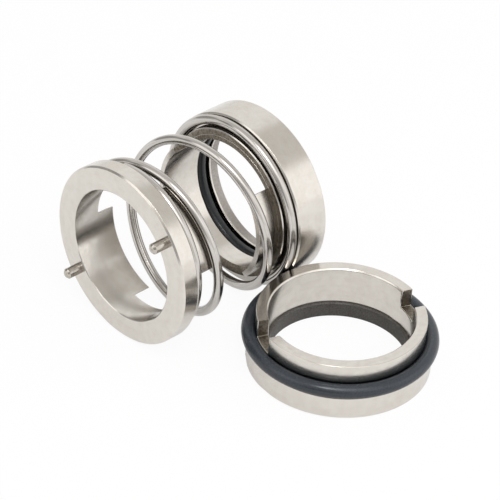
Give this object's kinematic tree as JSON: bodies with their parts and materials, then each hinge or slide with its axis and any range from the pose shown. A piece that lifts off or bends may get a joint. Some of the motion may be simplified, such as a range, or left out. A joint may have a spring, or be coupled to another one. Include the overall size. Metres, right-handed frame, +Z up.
{
  "type": "component mechanical seal",
  "caption": "Mechanical shaft seal: a spring-loaded rotary unit with a drive collar, and a slotted stationary seat with an O-ring.",
  "frame": {"origin": "centre of the stationary seat's lapped sealing face, on the surface that the seal stands on", "axes": "+X along the rotary unit's axis, from its drive collar to its sealing face; +Z up, along the seat's axis"},
  "size_m": [0.0646, 0.0924, 0.048],
  "materials": {
    "turned_steel": "turned stainless steel, lightly polished",
    "spring_wire": "bright drawn stainless wire",
    "o_ring_rubber": "moulded rubber, satin",
    "hard_face": "matt ground face material, fine speckle"
  },
  "bodies": {
    "holder_and_seat": {"seal_ring_holder": "turned_steel", "coil_spring": "spring_wire", "shaft_o_ring": "o_ring_rubber", "rotary_face_ring": "hard_face", "seat_ring": "turned_steel", "seat_face_ring": "hard_face", "seat_o_ring": "o_ring_rubber"},
    "collar": {"drive_collar": "turned_steel", "drive_pin_upper": "turned_steel", "drive_pin_lower": "turned_steel"}
  },
  "joints": [
    {"name": "collar_slide", "type": "slide", "parent": "holder_and_seat", "child": "collar", "axis": [1, 0, 0], "range_m": [0, 0.015], "stiffness_N_per_m": 3700, "deforming": ["coil_spring"]}
  ]
}
